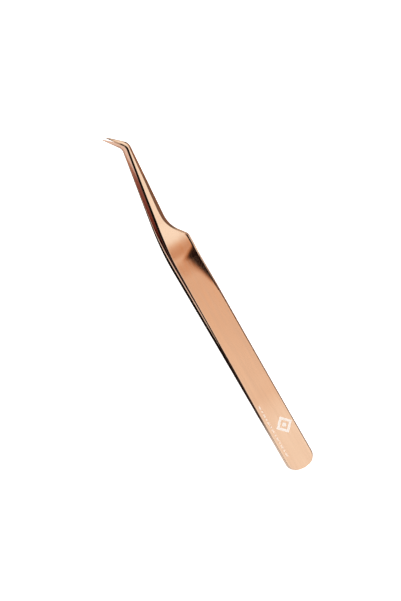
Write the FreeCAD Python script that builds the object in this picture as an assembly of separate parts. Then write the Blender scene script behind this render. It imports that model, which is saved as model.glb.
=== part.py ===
import FreeCAD, Part
import math
import os

# Angled-tip tweezers: two mirrored spring arms, spot-welded together at the tail.
#
# The tweezers' own axes, used while modelling, in mm:
#   x  from the butt end (0) to the tips
#   y  across the broad face; the tips bend towards +y, the cut-back shoulder is on -y
#   z  through the thickness; the arms are mirror images in z = 0
# At the end everything is laid on its rear arm, centred on x and y, with its lowest line at z = 0.

Vector = FreeCAD.Vector

# Driving dimensions
LENGTH = 125.0
HANDLE_WIDTH = 9.5
STRIP_THICKNESS = 1.25
BUTT_RADIUS = 3.7
BUTT_BULGE = 0.6
BUTT_END_RADIUS = 12.0

# Broad face: distances from the straight edge, which is the tips' side of the handle
SHOULDER_X = 84.9
SHOULDER_RADIUS = 2.2
NECK_X = 90.4
NECK_DEPTH = 5.2
NECK_RADIUS = 9.0
KNEE_X = 84.9
KNEE_RADIUS = 101.0
BEND_X = 119.2
BEND_INNER_DEPTH = 5.68
BEND_INNER_RADIUS = 2.5
BEND_OUTER_X = 120.1
BEND_OUTER_DEPTH = 7.25
BEND_OUTER_RADIUS = 3.0
TIP_DEPTH = 1.55
TIP_WIDTH = 0.45
TIP_RADIUS = 0.1

# Side view of one arm: its inner face, then its thickness
WELD_END = 20.0
SPREAD_RADIUS = 500.0
BOW_X = 50.0
BOW_HEIGHT = 0.82
BOW_RADIUS = 1800.0
SET_X = 80.0
SET_HEIGHT = 2.25
SET_RADIUS = 200.0
BEND_HALF_GAP = 2.6
TIP_HALF_GAP = 2.75
SHANK_X = 95.0
SHANK_THICKNESS = 1.4
SHANK_RADIUS = 150.0
BEND_THICKNESS = 0.85
TIP_THICKNESS = 0.36

# Flexure: each arm bends about a line 15% of its free length from the weld
FLEX_X = WELD_END + 0.15 * (LENGTH - WELD_END)
FLEX_GAP = 0.1

# Spot welds
WELD_PLACES = (7.0, 14.0)
NUGGET_RADIUS = 1.2
NUGGET_HALF_THICKNESS = 0.5
NUGGET_CLEARANCE = 0.02

# Larger than the object in every direction, for cutting blanks
BLANK = 200.0


def rounded_face(corners):
    """A flat face from (point, radius) corners: straight runs joined by tangent arcs."""
    arcs = []
    for place, (corner, radius) in enumerate(corners):
        back = (corners[place - 1][0] - corner).normalize()
        ahead = (corners[(place + 1) % len(corners)][0] - corner).normalize()
        if radius == 0:
            arcs.append((corner, None, corner))
            continue
        half_angle = back.getAngle(ahead) / 2
        reach = radius / math.tan(half_angle)
        middle = (back + ahead).normalize() * (radius / math.sin(half_angle) - radius)
        arcs.append((corner + back * reach, corner + middle, corner + ahead * reach))
    edges = []
    for place, (start, middle, end) in enumerate(arcs):
        if middle:
            edges.append(Part.Arc(start, middle, end).toShape())
        edges.append(Part.LineSegment(end, arcs[(place + 1) % len(arcs)][0]).toShape())
    return Part.Face(Part.Wire(edges))


def broad_outline():
    """The arm seen square to its broad face."""
    def at(x, depth, radius):
        return Vector(x, HANDLE_WIDTH / 2 - depth, 0), radius

    # The two edges of the tip converge on a narrow end, square to the tip's own direction
    tip_angle = math.atan2(BEND_OUTER_DEPTH - TIP_DEPTH, LENGTH - BEND_OUTER_X)
    across_x = TIP_WIDTH / 2 * math.sin(tip_angle)
    across_depth = TIP_WIDTH / 2 * math.cos(tip_angle)
    return rounded_face([
        at(BUTT_BULGE, 0, BUTT_RADIUS),
        at(0, HANDLE_WIDTH / 2, BUTT_END_RADIUS),
        at(BUTT_BULGE, HANDLE_WIDTH, BUTT_RADIUS),
        at(SHOULDER_X, HANDLE_WIDTH, SHOULDER_RADIUS),
        at(NECK_X, NECK_DEPTH, NECK_RADIUS),
        at(BEND_OUTER_X, BEND_OUTER_DEPTH, BEND_OUTER_RADIUS),
        at(LENGTH, TIP_DEPTH + across_depth, TIP_RADIUS),
        at(LENGTH - 2 * across_x, TIP_DEPTH - across_depth, TIP_RADIUS),
        at(BEND_X, BEND_INNER_DEPTH, BEND_INNER_RADIUS),
        at(KNEE_X, 0, KNEE_RADIUS),
    ])


def side_outline():
    """The front arm seen along its width: flat tail, bowed handle, parallel tapering shank."""
    def at(x, z, radius=0):
        return Vector(x, 0, z), radius

    return rounded_face([
        at(0, 0),
        at(WELD_END, 0, SPREAD_RADIUS),
        at(BOW_X, BOW_HEIGHT, BOW_RADIUS),
        at(SET_X, SET_HEIGHT, SET_RADIUS),
        at(BEND_X, BEND_HALF_GAP),
        at(LENGTH, TIP_HALF_GAP),
        at(LENGTH, TIP_HALF_GAP + TIP_THICKNESS),
        at(BEND_X, BEND_HALF_GAP + BEND_THICKNESS, SHANK_RADIUS / 4),
        at(SHANK_X, SET_HEIGHT + SHANK_THICKNESS, SHANK_RADIUS),
        at(SET_X, SET_HEIGHT + STRIP_THICKNESS, SET_RADIUS),
        at(BOW_X, BOW_HEIGHT + STRIP_THICKNESS, BOW_RADIUS),
        at(WELD_END, STRIP_THICKNESS, SPREAD_RADIUS),
        at(0, STRIP_THICKNESS),
    ])


def front_arm():
    """The whole front arm: the broad outline and the side outline, crossed."""
    broad = broad_outline().extrude(Vector(0, 0, HANDLE_WIDTH))
    side = side_outline()
    side.translate(Vector(0, -HANDLE_WIDTH, 0))
    return broad.common(side.extrude(Vector(0, 2 * HANDLE_WIDTH, 0)))


def nuggets(radius, half_thickness):
    """The row of spot-weld nuggets across the joint face, as separate discs."""
    axis = Vector(0, 0, 1)
    return [
        Part.makeCylinder(radius, 2 * half_thickness, Vector(x, 0, -half_thickness), axis)
        for x in WELD_PLACES
    ]


def split_at_flexure(arm):
    """The arm's tail, and its blade from the flexure line to the tip."""
    half = Vector(0, -BLANK / 2, -BLANK / 2)
    before = Part.makeBox(BLANK, BLANK, BLANK, half - Vector(BLANK - FLEX_X + FLEX_GAP / 2, 0, 0))
    after = Part.makeBox(BLANK, BLANK, BLANK, half + Vector(FLEX_X + FLEX_GAP / 2, 0, 0))
    return arm.common(before), arm.common(after)


def tweezers():
    """Every node's shape, in the tweezers' own axes."""
    pockets = nuggets(NUGGET_RADIUS + NUGGET_CLEARANCE, NUGGET_HALF_THICKNESS + NUGGET_CLEARANCE)
    front = front_arm()
    rear = front.mirror(Vector(0, 0, 0), Vector(0, 0, 1))
    front_tail, front_blade = split_at_flexure(front.cut(pockets))
    rear_tail, rear_blade = split_at_flexure(rear.cut(pockets))
    return {
        "front_arm_tail": front_tail,
        "front_arm_blade": front_blade,
        "rear_arm_tail": rear_tail,
        "rear_arm_blade": rear_blade,
        "weld_nuggets": Part.makeCompound(nuggets(NUGGET_RADIUS, NUGGET_HALF_THICKNESS)),
    }


def laid_down(shapes):
    """The same shapes resting on the rear arm's butt edge and shoulder, origin under the middle."""
    tilt_deg = math.degrees(math.atan2(SET_HEIGHT, SET_X))
    for shape in shapes.values():
        shape.rotate(Vector(0, 0, 0), Vector(0, 1, 0), -tilt_deg)
    box = Part.makeCompound(list(shapes.values())).optimalBoundingBox(False)
    to_origin = Vector(-box.Center.x, -box.Center.y, -box.ZMin)
    for shape in shapes.values():
        shape.translate(to_origin)
    return tilt_deg, to_origin


def main():
    os.makedirs("parts", exist_ok=True)
    shapes = tweezers()
    tilt_deg, to_origin = laid_down(shapes)
    for node, shape in shapes.items():
        shape.exportStep(f"parts/{node}.step")
        print(f"{node}: {len(shape.Solids)} solids, {shape.Volume:.2f} mm3, valid {shape.isValid()}")
    box = Part.makeCompound(list(shapes.values())).optimalBoundingBox(False)
    print(f"size {box.XLength:.3f} x {box.YLength:.3f} x {box.ZLength:.3f} mm")
    print(f"tilt {tilt_deg:.4f} deg, moved by {to_origin}")


main()
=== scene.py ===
import bisect
import math

import bmesh
import bpy
from mathutils import Matrix, Vector

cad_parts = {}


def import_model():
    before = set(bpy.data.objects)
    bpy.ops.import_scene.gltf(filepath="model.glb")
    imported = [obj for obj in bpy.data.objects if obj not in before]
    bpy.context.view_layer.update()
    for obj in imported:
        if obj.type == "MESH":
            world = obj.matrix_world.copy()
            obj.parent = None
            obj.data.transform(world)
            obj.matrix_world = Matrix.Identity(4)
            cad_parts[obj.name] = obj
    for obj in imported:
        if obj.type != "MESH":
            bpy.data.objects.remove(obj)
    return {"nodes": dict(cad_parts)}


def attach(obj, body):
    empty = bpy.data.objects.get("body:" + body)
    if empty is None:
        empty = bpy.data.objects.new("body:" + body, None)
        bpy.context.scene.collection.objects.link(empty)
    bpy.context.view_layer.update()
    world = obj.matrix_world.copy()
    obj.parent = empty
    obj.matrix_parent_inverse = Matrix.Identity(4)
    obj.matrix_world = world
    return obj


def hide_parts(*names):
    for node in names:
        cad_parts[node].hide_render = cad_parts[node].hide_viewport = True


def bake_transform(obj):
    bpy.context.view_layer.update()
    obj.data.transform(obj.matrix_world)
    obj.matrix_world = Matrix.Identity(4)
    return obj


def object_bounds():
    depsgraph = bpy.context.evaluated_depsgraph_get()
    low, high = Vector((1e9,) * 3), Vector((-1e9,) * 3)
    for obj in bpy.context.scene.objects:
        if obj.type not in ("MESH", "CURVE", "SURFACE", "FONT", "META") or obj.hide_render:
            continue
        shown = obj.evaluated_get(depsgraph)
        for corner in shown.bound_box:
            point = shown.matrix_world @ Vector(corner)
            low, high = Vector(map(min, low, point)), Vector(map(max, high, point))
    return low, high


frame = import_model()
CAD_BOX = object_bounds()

MM = 0.001
TINY = 1e-9
MERGE_DISTANCE = 1e-7

# ---------------------------------------------------------------- the arm's driving dimensions, mm
# x runs from the butt end to the tips; depth runs across the broad face from the straight edge;
# z runs out from the plane between the arms.
LENGTH = 125.0
HANDLE_WIDTH = 9.5
STRIP_THICKNESS = 1.25
BUTT_RADIUS = 3.7
BUTT_BULGE = 0.6
SHOULDER = (84.9, HANDLE_WIDTH, 2.2)
NECK = (90.4, 5.2, 9.0)
KNEE = (84.9, 0.0, 101.0)
BEND_X = 119.2
BEND_OUTER = (120.1, 7.25, 3.0)
BEND_INNER = (BEND_X, 5.68, 2.5)
TIP_DEPTH = 1.55
TIP_WIDTH = 0.45
WELD_END = 20.0
SPREAD_RADIUS = 500.0
BOW = (50.0, 0.82, 1800.0)
SET_X = 80.0
SET_HEIGHT = 2.25
SET_RADIUS = 200.0
BEND_HALF_GAP = 2.6
BEND_INNER_FACE_RADIUS = 20.0
BEND_OUTER_FACE_RADIUS = 37.0
TIP_HALF_GAP = 2.75
SHANK_X = 95.0
SHANK_THICKNESS = 1.4
SHANK_RADIUS = 150.0
BEND_THICKNESS = 0.85
TIP_THICKNESS = 0.36
FLEX_SHARE = 0.15
FLEX_X = WELD_END + FLEX_SHARE * (LENGTH - WELD_END)
FLEX_REACH = 12.0

# ---------------------------------------------------------------- from the frame
TILT = math.atan2(SET_HEIGHT, SET_X)
ACROSS = Vector((0, 1, 0))
LOWEST = Vector(CAD_BOX[0])
LAY_DOWN = Matrix.Rotation(-TILT, 4, ACROSS)
BUTT_CORNER = LAY_DOWN @ Vector((0, 0, STRIP_THICKNESS))
SHIFT = Vector((LOWEST.x / MM - BUTT_CORNER.x, 0, LOWEST.z / MM + STRIP_THICKNESS * math.cos(TILT)))


def placed(x, depth, z):
    """A point in the tweezers' own axes, in mm, as a point in the frame, in metres."""
    point = LAY_DOWN @ Vector((x, HANDLE_WIDTH / 2 - depth, z))
    return (point + SHIFT) * MM


def smooth(start, end, value):
    """0 before start, 1 after end, and a smooth step between them."""
    t = min(max((value - start) / (end - start), 0.0), 1.0)
    return t * t * (3 - 2 * t)


class Profile:
    """A line through (x, value, radius) corners, rounded by tangent arcs and read at any x."""

    ARC_STEPS = 24

    def __init__(self, corners):
        points = [Vector(corner[:2]) for corner in corners]
        self.points = [points[0]]
        for last, corner, ahead, (_, _, radius) in zip(points, points[1:], points[2:], corners[1:-1]):
            self.points += self.arc(last, corner, ahead, radius)
        self.points.append(points[-1])
        self.xs = [point.x for point in self.points]

    def arc(self, last, corner, ahead, radius):
        to_last = (last - corner).normalized()
        to_ahead = (ahead - corner).normalized()
        half_angle = to_last.angle(to_ahead) / 2
        reach = radius / math.tan(half_angle)
        centre = corner + (to_last + to_ahead).normalized() * radius / math.sin(half_angle)
        start = corner + to_last * reach - centre
        turn = start.angle_signed(corner + to_ahead * reach - centre)
        steps = (turn * step / self.ARC_STEPS for step in range(self.ARC_STEPS + 1))
        return [centre + start @ Matrix.Rotation(angle, 2) for angle in steps]

    def at(self, x):
        place = min(max(bisect.bisect_right(self.xs, x), 1), len(self.xs) - 1)
        a, b = self.points[place - 1], self.points[place]
        share = (x - a.x) / max(b.x - a.x, TINY)
        return a.y + (b.y - a.y) * min(max(share, 0.0), 1.0)


STRAIGHT_EDGE = Profile([
    (0, HANDLE_WIDTH / 2, 0), (BUTT_BULGE, 0, BUTT_RADIUS), KNEE, BEND_INNER,
    (LENGTH, TIP_DEPTH - TIP_WIDTH / 2, 0),
])
SHOULDER_EDGE = Profile([
    (0, HANDLE_WIDTH / 2, 0), (BUTT_BULGE, HANDLE_WIDTH, BUTT_RADIUS), SHOULDER, NECK, BEND_OUTER,
    (LENGTH, TIP_DEPTH + TIP_WIDTH / 2, 0),
])
INNER_FACE = Profile([
    (0, 0, 0), (WELD_END, 0, SPREAD_RADIUS), BOW, (SET_X, SET_HEIGHT, SET_RADIUS),
    (BEND_X, BEND_HALF_GAP, BEND_INNER_FACE_RADIUS), (LENGTH, TIP_HALF_GAP, 0),
])
OUTER_FACE = Profile([
    (0, STRIP_THICKNESS, 0), (WELD_END, STRIP_THICKNESS, SPREAD_RADIUS),
    (BOW[0], BOW[1] + STRIP_THICKNESS, BOW[2]),
    (SET_X, SET_HEIGHT + STRIP_THICKNESS, SET_RADIUS),
    (SHANK_X, SET_HEIGHT + SHANK_THICKNESS, SHANK_RADIUS),
    (BEND_X, BEND_HALF_GAP + BEND_THICKNESS, BEND_OUTER_FACE_RADIUS),
    (LENGTH, TIP_HALF_GAP + TIP_THICKNESS, 0),
])

# Ground bevels of the outer face, mm: (x, width across the face, rounding of the line)
STRAIGHT_BEVEL = Profile([
    (0, 0.12, 0), (22.0, 0.16, 60.0), (40.0, 0.28, 60.0), (80.0, 0.3, 60.0),
    (92.0, 0.66, 60.0), (102.0, 0.55, 60.0), (119.0, 0.55, 60.0), (LENGTH, 0.4, 0),
])
SHOULDER_BEVEL = Profile([
    (0, 0.3, 0), (25.0, 0.3, 60.0), (64.0, 0.5, 60.0), (84.0, 0.7, 30.0),
    (97.0, 1.45, 60.0), (106.0, 0.98, 60.0), (119.0, 0.65, 60.0), (LENGTH, 0.2, 0),
])
STRAIGHT_BEVEL_SLOPE = 1.0
SHOULDER_BEVEL_SLOPE = Profile([
    (0, 0.72, 0), (64.0, 0.72, 20.0), (74.0, 0.79, 20.0), (84.5, 0.79, 1.0), (86.5, 0.6, 1.0),
    (LENGTH, 0.5, 0),
])

# Shallower facet between the face and the shoulder side's bevel, widest beside the shoulder
SHOULDER_BREAK = Profile([
    (0, 0.07, 0), (60.0, 0.08, 60.0), (72.0, 0.45, 20.0), (85.5, 0.5, 5.0), (88.5, 0.07, 5.0),
    (LENGTH, 0.07, 0),
])
SHOULDER_BREAK_SLOPE = 0.25

# The most of the strip's width or thickness that each may take, where the tip narrows
LARGEST_BEVEL_SHARE = 0.37
LARGEST_BEVEL_DROP_SHARE = 0.6
LARGEST_BREAK_SHARE = 0.1
LARGEST_EDGE_SHARE = 0.15
LARGEST_INNER_ROUND_SHARE = 0.3

# Hollow ground across the shoulder side of the outer face, where the handle runs into the neck
HOLLOW_START = 62.0
HOLLOW_PEAK = 77.6
HOLLOW_END = 82.2
HOLLOW_WIDTH = 7.3
HOLLOW_DROP = 0.8
HOLLOW_WIDENING = 1.2
HOLLOW_DEEPENING = 1.4
HOLLOW_STEEPENING = 3

# Low swell of the front arm's outer face where the neck begins, mm: steps (start, end, height)
SWELL = ((72.0, 82.0, 0.1), (79.0, 85.5, 0.21), (85.5, 92.0, -0.31))

# Rounding of the inner face's straight edge, mm: (x, size, rounding of the line)
INNER_ROUND = Profile([
    (0, 0.2, 0), (22.0, 0.3, 60.0), (34.0, 0.85, 60.0), (80.0, 0.85, 60.0), (92.0, 0.35, 60.0),
    (104.0, 0.15, 60.0), (LENGTH, 0.1, 0),
])

# Its two facets, as shares of that size: the middle corner (in from the edge, up), then the top
INNER_ROUND_MIDDLE = (0.7, 0.11)
INNER_ROUND_TOP = 0.76

# How far the other corners are blunted, mm
EDGE_BREAK = 0.07

# The mesh: steps across the face, closer together towards the hollow, and steps along the arm, mm
FACE_STEPS = 14
FACE_CROWDING = 1.6
BUTT_STEP = 0.04
BUTT_STEP_GROWTH = 0.06
PLAIN_STEP = 1.0
FINE_STEP = 0.5
TIP_STEP = 0.15
TIP_STEPS_BEFORE_BEND = 2
SHARP_DEG = 14

# How bright rubbing has left the coating, from none to full
NO_WEAR = 0.0
SIDE_WEAR = 0.4
ROUND_WEAR = 0.6
EDGE_WEAR = 1.0

# Painted shade between the arms: the inner face is painted darker along the handle, and less so from
# here to the tips
SHADE_FULL_UNTIL = 106.0
SHADE_LEAST_FROM = 116.0
TIP_SHADE_SHARE = 0.5


def hollow_drop(x, from_shoulder_edge):
    """How far the outer face falls away towards the shoulder edge."""
    opening = max(x - HOLLOW_START, 0.0) / (HOLLOW_PEAK - HOLLOW_START)
    closing = 1.0 - smooth(HOLLOW_PEAK, HOLLOW_END, x)
    width = HOLLOW_WIDTH * min(opening ** HOLLOW_WIDENING, closing)
    if from_shoulder_edge >= width:
        return 0.0
    share = 1 - from_shoulder_edge / width
    return HOLLOW_DROP * (width / HOLLOW_WIDTH) ** HOLLOW_DEEPENING * share ** HOLLOW_STEEPENING


def swell(x):
    """How far the front arm's outer face stands proud where the neck begins."""
    return sum(height * smooth(start, end, x) for start, end, height in SWELL)


def stations():
    """Places along the arm: close together at the butt, flexure, shoulder, bend and tip."""
    places = [0.0]
    while places[-1] < LENGTH:
        x = places[-1]
        if x < BUTT_RADIUS + BUTT_BULGE:
            step = BUTT_STEP + BUTT_STEP_GROWTH * x
        elif x < FLEX_X - FLEX_REACH or FLEX_X + FLEX_REACH < x < HOLLOW_START:
            step = PLAIN_STEP
        elif x < BEND_X - TIP_STEPS_BEFORE_BEND:
            step = FINE_STEP
        else:
            step = TIP_STEP
        places.append(min(x + step, LENGTH))
    return places


def section(x, side):
    """The strip's section at x: points (depth, z, wear) round from the straight edge's inner corner."""
    near, far = STRAIGHT_EDGE.at(x), SHOULDER_EDGE.at(x)
    low = INNER_FACE.at(x)
    high = OUTER_FACE.at(x) + (swell(x) if side > 0 else 0.0)
    width = far - near
    thickness = high - low

    edge = min(EDGE_BREAK, LARGEST_EDGE_SHARE * width, LARGEST_EDGE_SHARE * thickness)
    half_edge = 0.5 * edge
    cut_in = 0.3 * edge
    near_bevel = min(STRAIGHT_BEVEL.at(x), LARGEST_BEVEL_SHARE * width)
    far_bevel = min(SHOULDER_BEVEL.at(x), LARGEST_BEVEL_SHARE * width)
    largest_drop = LARGEST_BEVEL_DROP_SHARE * thickness
    near_drop = min(near_bevel * STRAIGHT_BEVEL_SLOPE, largest_drop)
    far_drop = min(far_bevel * SHOULDER_BEVEL_SLOPE.at(x), largest_drop)
    far_break = min(SHOULDER_BREAK.at(x), LARGEST_BREAK_SHARE * width)
    inner_round = min(INNER_ROUND.at(x), LARGEST_INNER_ROUND_SHARE * width)
    middle_in, middle_up = INNER_ROUND_MIDDLE

    near_foot = high - near_drop
    far_high = high - hollow_drop(x, far_bevel + far_break)
    far_ridge = far_high - SHOULDER_BREAK_SLOPE * far_break
    far_foot = max(far_ridge - far_drop, low + 2 * edge)

    points = [
        (near + inner_round, low, NO_WEAR),
        (near + middle_in * inner_round, low + middle_up * inner_round, ROUND_WEAR),
        (near, low + INNER_ROUND_TOP * inner_round, ROUND_WEAR),
        (near, near_foot - edge, SIDE_WEAR),
        (near + cut_in, near_foot + cut_in, EDGE_WEAR),
        (near + near_bevel - half_edge, high - half_edge, SIDE_WEAR),
        (near + near_bevel + half_edge, high, EDGE_WEAR),
    ]
    span = width - near_bevel - far_bevel - far_break - half_edge
    for step in range(1, FACE_STEPS):
        still_to_go = 1 - step / FACE_STEPS
        depth = near + near_bevel + half_edge + span * (1 - still_to_go ** FACE_CROWDING)
        points.append((depth, high - hollow_drop(x, far - depth), NO_WEAR))
    points += [
        (far - far_bevel - far_break, far_high, EDGE_WEAR),
        (far - far_bevel, far_ridge, SIDE_WEAR),
        (far - cut_in, far_foot + cut_in, EDGE_WEAR),
        (far, far_foot - half_edge, SIDE_WEAR),
        (far, low + edge, EDGE_WEAR),
        (far - edge, low, ROUND_WEAR),
    ]
    return points


def new_object(name, mesh_builder, material):
    """A mesh object, made by mesh_builder in an empty bmesh."""
    mesh = bpy.data.meshes.new(name)
    shape = bmesh.new()
    mesh_builder(shape)
    bmesh.ops.recalc_face_normals(shape, faces=shape.faces)
    shape.to_mesh(mesh)
    shape.free()
    piece = bpy.data.objects.new(name, mesh)
    mesh.materials.append(material)
    bpy.context.scene.collection.objects.link(piece)
    return piece


def between_arms_shade(x):
    """How much painted shade the inner face gets: fully along the handle, less at the tips."""
    return 1 - (1 - TIP_SHADE_SHARE) * smooth(SHADE_FULL_UNTIL, SHADE_LEAST_FROM, x)


def arm(name, side, material):
    """One whole arm as a lofted strip; side is 1 for the front arm and -1 for the rear."""
    def build(shape):
        wear = shape.verts.layers.float.new("edge_wear")
        inside = shape.verts.layers.float.new("inner_face_shade")
        rings = []
        for x in stations():
            ring = []
            for depth, z, worn in section(x, side):
                vertex = shape.verts.new(placed(x, depth, side * z))
                vertex[wear] = worn
                # painted shade: each inner-face vertex carries how much of the darker painted colour it
                # gets
                vertex[inside] = between_arms_shade(x) if z <= INNER_FACE.at(x) else 0.0
                ring.append(vertex)
            rings.append(ring)
        count = len(rings[0])
        for back, ahead in zip(rings, rings[1:]):
            for i in range(count):
                j = (i + 1) % count
                shape.faces.new((back[i], back[j], ahead[j], ahead[i]))
        shape.faces.new(reversed(rings[0]))
        shape.faces.new(rings[-1])
        bmesh.ops.remove_doubles(shape, verts=shape.verts, dist=MERGE_DISTANCE)
        for face in shape.faces:
            face.smooth = True
        for edge in shape.edges:
            if len(edge.link_faces) == 2 and edge.calc_face_angle(0) > math.radians(SHARP_DEG):
                edge.smooth = False

    piece = new_object(name, build, material)
    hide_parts(f"{name}_tail", f"{name}_blade")
    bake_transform(piece)


# ---------------------------------------------------------------- the etched mark, a plain pattern
ETCH_HEIGHT = 0.02
MARK_X = 15.45
MARK_DEPTH = 5.75
DIAMOND_REACH = 3.0
DIAMOND_STROKE = 1.15
CORE_REACH = 0.9
DASH_DEPTH = 1.1
DASH_WIDTH = 0.6
DASH_START = 6.0
DASH_END = 25.0
DASH_LENGTHS = (1.3, 0.6)
DASH_SPACE = 0.5


def loop(shape, outline, rise):
    """Vertices at (x, depth) points, a little above or below the front arm's outer face."""
    return [shape.verts.new(placed(x, depth, OUTER_FACE.at(x) + rise)) for x, depth in outline]


def joined(shape, first, second):
    """Quads between two loops of the same count."""
    for i in range(len(first)):
        j = (i + 1) % len(first)
        shape.faces.new((first[i], first[j], second[j], second[i]))


def etched(shape, outline):
    """One thin closed slab, half sunk in the front arm's outer face."""
    top, foot = loop(shape, outline, ETCH_HEIGHT), loop(shape, outline, -ETCH_HEIGHT)
    shape.faces.new(top)
    shape.faces.new(reversed(foot))
    joined(shape, foot, top)


def diamond(reach):
    """The corners of a diamond about the mark's middle."""
    corners = ((reach, 0), (0, reach), (-reach, 0), (0, -reach))
    return [(MARK_X + x, MARK_DEPTH + depth) for x, depth in corners]


def build_diamonds(shape):
    """A diamond ring, closed round its own section, and a small diamond inside it."""
    outside, inside = diamond(DIAMOND_REACH), diamond(DIAMOND_REACH - DIAMOND_STROKE)
    loops = [
        loop(shape, outside, -ETCH_HEIGHT),
        loop(shape, outside, ETCH_HEIGHT),
        loop(shape, inside, ETCH_HEIGHT),
        loop(shape, inside, -ETCH_HEIGHT),
    ]
    for here, following in zip(loops, loops[1:] + loops[:1]):
        joined(shape, here, following)
    etched(shape, diamond(CORE_REACH))


def build_dashes(shape):
    """A row of dashes, long and short in turn, along the straight edge."""
    x = DASH_START
    turn = 0
    while x < DASH_END:
        end = x + DASH_LENGTHS[turn % len(DASH_LENGTHS)]
        etched(shape, [
            (x, DASH_DEPTH), (end, DASH_DEPTH),
            (end, DASH_DEPTH + DASH_WIDTH), (x, DASH_DEPTH + DASH_WIDTH),
        ])
        x = end + DASH_SPACE
        turn += 1


# ---------------------------------------------------------------- materials
# The Mix node's colour sockets
COLOUR_A, COLOUR_B, COLOUR_OUT = 6, 7, 2

GOLD_DARK, GOLD_LIGHT = (0.86, 0.59, 0.41, 1), (0.89, 0.62, 0.44, 1)
GOLD_WORN = (0.93, 0.72, 0.56, 1)
# painted shade: the darker colour painted on the inner faces between the arms
GOLD_PAINTED_SHADE = (0.56, 0.30, 0.24, 1)
WELD_DARK, WELD_LIGHT = (0.45, 0.43, 0.42, 1), (0.62, 0.60, 0.58, 1)
BRIGHT_ETCH = ((0.95, 0.93, 0.90, 1), (0.90, 0.82, 0.75, 1))
FAINT_ETCH = ((0.93, 0.81, 0.70, 1), (0.88, 0.70, 0.57, 1))
WHITE = (1, 1, 1, 1)


class Nodes:
    """Short calls for building a material's node tree."""

    def __init__(self, name):
        self.material = bpy.data.materials.new(name)
        self.material.use_nodes = True
        self.tree = self.material.node_tree
        self.shader = self.tree.nodes["Principled BSDF"]

    def add(self, kind, settings=(), **inputs):
        node = self.tree.nodes.new(kind)
        for key, value in dict(settings).items():
            setattr(node, key, value)
        for key, value in inputs.items():
            self.put(value, node.inputs[key.replace("_", " ")])
        return node

    def put(self, value, socket):
        """Link the value if it is another node's output, or else set it."""
        if isinstance(value, bpy.types.NodeSocket):
            self.tree.links.new(value, socket)
        else:
            socket.default_value = value

    def noise(self, scale, detail=3.0, stretch=(1, 1, 1)):
        """Noise in the object's own axes, drawn out along an axis by a small stretch."""
        place = self.add("ShaderNodeTexCoord").outputs["Object"]
        mapping = self.add("ShaderNodeMapping", Vector=place, Scale=stretch)
        vector = mapping.outputs["Vector"]
        return self.add("ShaderNodeTexNoise", Vector=vector, Scale=scale, Detail=detail).outputs["Fac"]

    def range(self, value, low, high, from_low=0.3, from_high=0.7):
        """The value stretched from one range to another; noise lies mostly in 0.3 to 0.7."""
        node = self.add("ShaderNodeMapRange", Value=value)
        node.inputs["From Min"].default_value = from_low
        node.inputs["From Max"].default_value = from_high
        node.inputs["To Min"].default_value = low
        node.inputs["To Max"].default_value = high
        return node.outputs["Result"]

    def mix(self, share, first, second):
        node = self.add("ShaderNodeMix", {"data_type": "RGBA"})
        self.put(share, node.inputs["Factor"])
        self.put(first, node.inputs[COLOUR_A])
        self.put(second, node.inputs[COLOUR_B])
        return node.outputs[COLOUR_OUT]

    def bump(self, height, strength, distance):
        node = self.add("ShaderNodeBump", Height=height, Strength=strength, Distance=distance)
        return node.outputs["Normal"]


def rose_gold():
    """Rose-gold coating: polished, with fine lengthwise lines, and painted shade darkening the inner
    faces between the arms.
    """
    n = Nodes("rose_gold")
    drift = n.range(n.noise(scale=60.0, detail=2.0), low=0.0, high=1.0)
    tint = n.mix(drift, GOLD_DARK, GOLD_LIGHT)
    wear = n.add("ShaderNodeAttribute", {"attribute_name": "edge_wear"}).outputs["Fac"]
    rubbed = n.range(wear, low=0.0, high=0.35, from_low=0.5, from_high=1.0)
    worn = n.mix(rubbed, tint, GOLD_WORN)
    inner = n.add("ShaderNodeAttribute", {"attribute_name": "inner_face_shade"}).outputs["Fac"]
    # the inner faces take the painted shade colour, by their share along the arm
    n.put(n.mix(inner, worn, GOLD_PAINTED_SHADE), n.shader.inputs["Base Color"])
    lines = n.noise(scale=900.0, detail=4.0, stretch=(0.02, 1.0, 1.0))
    n.put(n.range(lines, low=0.11, high=0.17), n.shader.inputs["Roughness"])
    n.put(n.bump(lines, strength=0.12, distance=0.00001), n.shader.inputs["Normal"])
    n.shader.inputs["Metallic"].default_value = 1.0
    return n.material


def bare_weld():
    """Grey fused steel with a coarse cast grain."""
    n = Nodes("bare_weld")
    grain = n.noise(scale=1500.0, detail=5.0)
    tint = n.mix(n.range(grain, low=0.0, high=1.0), WELD_DARK, WELD_LIGHT)
    n.put(tint, n.shader.inputs["Base Color"])
    n.put(n.range(grain, low=0.35, high=0.55), n.shader.inputs["Roughness"])
    n.put(n.bump(grain, strength=0.3, distance=0.00002), n.shader.inputs["Normal"])
    n.shader.inputs["Metallic"].default_value = 1.0
    return n.material


def etching(name, light, dark):
    """Matt pale laser etching, finely speckled between two shades."""
    n = Nodes(name)
    speckle = n.noise(scale=2600.0, detail=3.0)
    tint = n.mix(n.range(speckle, low=0.0, high=1.0), light, dark)
    n.put(tint, n.shader.inputs["Base Color"])
    n.put(n.range(speckle, low=0.5, high=0.75), n.shader.inputs["Roughness"])
    n.put(n.bump(speckle, strength=0.25, distance=0.00001), n.shader.inputs["Normal"])
    return n.material


# ---------------------------------------------------------------- studio
FLOOR_RADIUS = 2.5
FLOOR_DARK, FLOOR_LIGHT = (0.93, 0.93, 0.93, 1), (0.95, 0.95, 0.95, 1)
FLOOR_GLOW = 0.75

# The floor as all but the camera sees it, m: pale by the butt (low x) and on the shoulder's
# side (low y), and nearly black elsewhere
REFLECTED_PALE = (0.95, 0.93, 0.93, 1)
REFLECTED_DARK = (0.08, 0.05, 0.045, 1)
DARK_FROM_X, DARK_BY_X = -0.0505, -0.0405
DARK_FROM_Y, DARK_BY_Y = -0.004, 0.004


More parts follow.
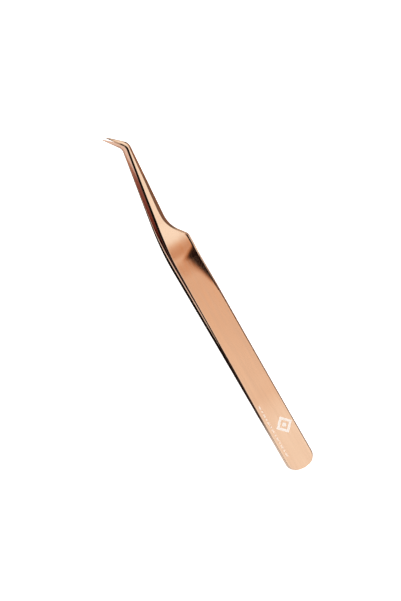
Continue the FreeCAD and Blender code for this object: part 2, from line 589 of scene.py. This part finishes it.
def floor():
    """Plain and pale to the camera; the metal reflects a dark half on the straight edge's side."""
    n = Nodes("pale_floor")
    cloud = n.noise(scale=3.0, detail=2.0)
    tint = n.mix(n.range(cloud, low=0.0, high=1.0), FLOOR_DARK, FLOOR_LIGHT)
    n.put(tint, n.shader.inputs["Base Color"])
    n.shader.inputs["Roughness"].default_value = 0.9
    n.shader.inputs["Specular IOR Level"].default_value = 0.1
    n.shader.inputs["Emission Color"].default_value = WHITE
    n.shader.inputs["Emission Strength"].default_value = FLOOR_GLOW
    place = n.add("ShaderNodeSeparateXYZ", Vector=n.add("ShaderNodeTexCoord").outputs["Object"])
    past_butt = n.range(place.outputs["X"], 0.0, 1.0, DARK_FROM_X, DARK_BY_X)
    straight_side = n.mix(past_butt, REFLECTED_PALE, REFLECTED_DARK)
    shoulder_share = n.range(place.outputs["Y"], 1.0, 0.0, DARK_FROM_Y, DARK_BY_Y)
    glow = n.mix(shoulder_share, straight_side, REFLECTED_PALE)
    dim = n.add("ShaderNodeEmission", Color=glow).outputs["Emission"]
    seen = n.add("ShaderNodeLightPath").outputs["Is Camera Ray"]
    choice = n.add("ShaderNodeMixShader", Fac=seen)
    n.put(dim, choice.inputs[1])
    n.put(n.shader.outputs["BSDF"], choice.inputs[2])
    n.put(choice.outputs["Shader"], n.tree.nodes["Material Output"].inputs["Surface"])

    def build(shape):
        bmesh.ops.create_circle(shape, cap_ends=True, segments=64, radius=FLOOR_RADIUS)

    ground = new_object("floor", build, n.material)
    ground.location.z = LOWEST.z


# The room as all but the camera sees it. A patch of it is (middle, inner degrees, outer degrees):
# full within the inner angle of its middle, and gone beyond the outer angle.
WALLS = (0.74, 0.64, 0.56, 1)
ROOM_STRENGTH = 1.12
OVERHEAD = ((0, 0, 1), 28, 55)
CARDS = (
    # beyond the straight edge: the dark lines along the handle and shank
    (((0, 1, 0.22), 24, 44), (0.004, 0.003, 0.003, 1)),
    # beyond the shoulder side, low down
    (((0, -1, 0.09), 14, 36), (0.19, 0.11, 0.08, 1)),
    # beyond the butt
    (((-0.82, 0.57, 0.05), 12, 22), (0.02, 0.013, 0.01, 1)),
    # the dark patch in the hollow, with its red-brown rim first
    (((-0.25, -0.62, 0.74), 19, 27.5), (0.50, 0.20, 0.09, 1)),
    (((-0.25, -0.62, 0.74), 17, 24), (0.012, 0.005, 0.005, 1)),
    # beyond the tips, on the shoulder side
    (((0.46, -0.82, 0.34), 9, 16), (0.10, 0.08, 0.07, 1)),
)

# The overhead softbox's colour along its way to the amber end, from 0 to 1: (place, colour)
TO_AMBER = (-0.8, -0.6, 0)
AMBER_START = 0.20
AMBER_END = 0.285
OVERHEAD_COLOURS = (
    (0.0, (0.98, 1.0, 1.0, 1)), (0.26, (0.98, 1.0, 0.98, 1)), (0.47, (0.93, 0.87, 0.79, 1)),
    (0.55, (0.875, 0.72, 0.59, 1)), (0.66, (0.86, 0.64, 0.48, 1)), (0.75, (0.86, 0.60, 0.42, 1)),
    (0.85, (0.80, 0.50, 0.33, 1)), (1.0, (0.58, 0.29, 0.15, 1)),
)


def world():
    """A white room to the camera; to all else, warm walls, an overhead softbox and dark cards."""
    room = bpy.data.worlds.new("studio_room")
    room.use_nodes = True
    bpy.context.scene.world = room
    tree = room.node_tree
    back = tree.nodes["Background"]
    direction = tree.nodes.new("ShaderNodeTexCoord").outputs["Generated"]

    def along(axis):
        """How far the direction looked in points along an axis."""
        dot = tree.nodes.new("ShaderNodeVectorMath")
        dot.operation = "DOT_PRODUCT"
        tree.links.new(direction, dot.inputs[0])
        dot.inputs[1].default_value = axis
        return dot.outputs["Value"]

    def patch(middle, inner, outer):
        """1 within the inner angle of the middle, 0 beyond the outer angle."""
        spread = tree.nodes.new("ShaderNodeMapRange")
        spread.interpolation_type = "SMOOTHSTEP"
        tree.links.new(along(Vector(middle).normalized()), spread.inputs["Value"])
        spread.inputs["From Min"].default_value = math.cos(math.radians(outer))
        spread.inputs["From Max"].default_value = math.cos(math.radians(inner))
        return spread.outputs["Result"]

    def laid_over(colour, share, over):
        """The first colour, with the second over it where the share is 1."""
        mix = tree.nodes.new("ShaderNodeMix")
        mix.data_type = "RGBA"
        tree.links.new(share, mix.inputs["Factor"])
        for value, socket in ((colour, mix.inputs[COLOUR_A]), (over, mix.inputs[COLOUR_B])):
            if isinstance(value, bpy.types.NodeSocket):
                tree.links.new(value, socket)
            else:
                socket.default_value = value
        return mix.outputs[COLOUR_OUT]

    def overhead():
        """The big overhead softbox: white, turning amber towards the butt and shoulder side."""
        fade = tree.nodes.new("ShaderNodeMapRange")
        tree.links.new(along(TO_AMBER), fade.inputs["Value"])
        fade.inputs["From Min"].default_value = AMBER_START
        fade.inputs["From Max"].default_value = AMBER_END
        ramp = tree.nodes.new("ShaderNodeValToRGB")
        tree.links.new(fade.outputs["Result"], ramp.inputs["Fac"])
        stops = ramp.color_ramp.elements
        while len(stops) < len(OVERHEAD_COLOURS):
            stops.new(1.0)
        for stop, (place, colour) in zip(stops, OVERHEAD_COLOURS):
            stop.position = place
            stop.color = colour
        return ramp.outputs["Color"]

    colour = laid_over(WALLS, patch(*OVERHEAD), overhead())
    for place, card in CARDS:
        colour = laid_over(colour, patch(*place), card)
    tree.links.new(colour, back.inputs["Color"])
    back.inputs["Strength"].default_value = ROOM_STRENGTH

    pale = tree.nodes.new("ShaderNodeBackground")
    pale.inputs["Color"].default_value = WHITE
    seen = tree.nodes.new("ShaderNodeLightPath").outputs["Is Camera Ray"]
    choice = tree.nodes.new("ShaderNodeMixShader")
    tree.links.new(seen, choice.inputs["Fac"])
    tree.links.new(back.outputs["Background"], choice.inputs[1])
    tree.links.new(pale.outputs["Background"], choice.inputs[2])
    tree.links.new(choice.outputs["Shader"], tree.nodes["World Output"].inputs["Surface"])


# The two soft lights, W / sr / m2 and m
SOFTBOX_SIZE = 0.5
SOFTBOX_RADIANCE = 2.2


def softbox(name, place):
    """A soft light aimed at the object, for matt surfaces; the metal reflects the room instead."""
    light = bpy.data.lights.new(name, "AREA")
    light.shape = "DISK"
    light.size = SOFTBOX_SIZE
    light.energy = SOFTBOX_RADIANCE * math.pi * math.pi * (SOFTBOX_SIZE / 2) ** 2
    lamp = bpy.data.objects.new(name, light)
    lamp.location = place
    lamp.rotation_euler = Vector(place).to_track_quat("Z", "Y").to_euler()
    lamp.visible_camera = False
    lamp.visible_glossy = False
    bpy.context.scene.collection.objects.link(lamp)


# The camera's long lens, and its place, m and degrees
LENS_MM = 300.0
SENSOR_MM = 24.0
CLIP_START = 0.01
VIEW_HEIGHT = 0.1951
AIM = Vector((0.0015, 0.0025, 0.004))
LEAN = math.radians(14.0)
ROLL = math.radians(30.3)


def camera():
    """Looks down from the straight edge's side, rolled so that the tips point up and left."""
    toward_camera = Vector((0, math.sin(LEAN), math.cos(LEAN)))
    along = Vector((1, 0, 0))
    sideways = toward_camera.cross(along)
    right = -math.sin(ROLL) * along - math.cos(ROLL) * sideways
    up = toward_camera.cross(right)
    lens = bpy.data.cameras.new("camera")
    lens.sensor_fit = "VERTICAL"
    lens.sensor_height = SENSOR_MM
    lens.lens = LENS_MM
    lens.clip_start = CLIP_START
    seen_from = bpy.data.objects.new("camera", lens)
    turn = Matrix((right, up, toward_camera)).transposed().to_4x4()
    distance = VIEW_HEIGHT * LENS_MM / SENSOR_MM
    seen_from.matrix_world = Matrix.Translation(AIM + toward_camera * distance) @ turn
    bpy.context.scene.collection.objects.link(seen_from)
    bpy.context.scene.camera = seen_from


# ---------------------------------------------------------------- build
gold = rose_gold()
arm("front_arm", 1, gold)
arm("rear_arm", -1, gold)

weld_finish = bare_weld()
for part_slot in frame["nodes"]["weld_nuggets"].material_slots:
    part_slot.material = weld_finish

for mark_name, builder, finish in (
    ("etched_diamond", build_diamonds, etching("bright_etch", *BRIGHT_ETCH)),
    ("etched_dashes", build_dashes, etching("faint_etch", *FAINT_ETCH)),
):
    mark = new_object(mark_name, builder, finish)
    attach(mark, "tail")

floor()
softbox("soft_left", (-0.3, 0.35, 0.6))
softbox("soft_right", (0.3, -0.25, 0.7))
world()
camera()
bpy.context.scene.view_settings.view_transform = "Standard"
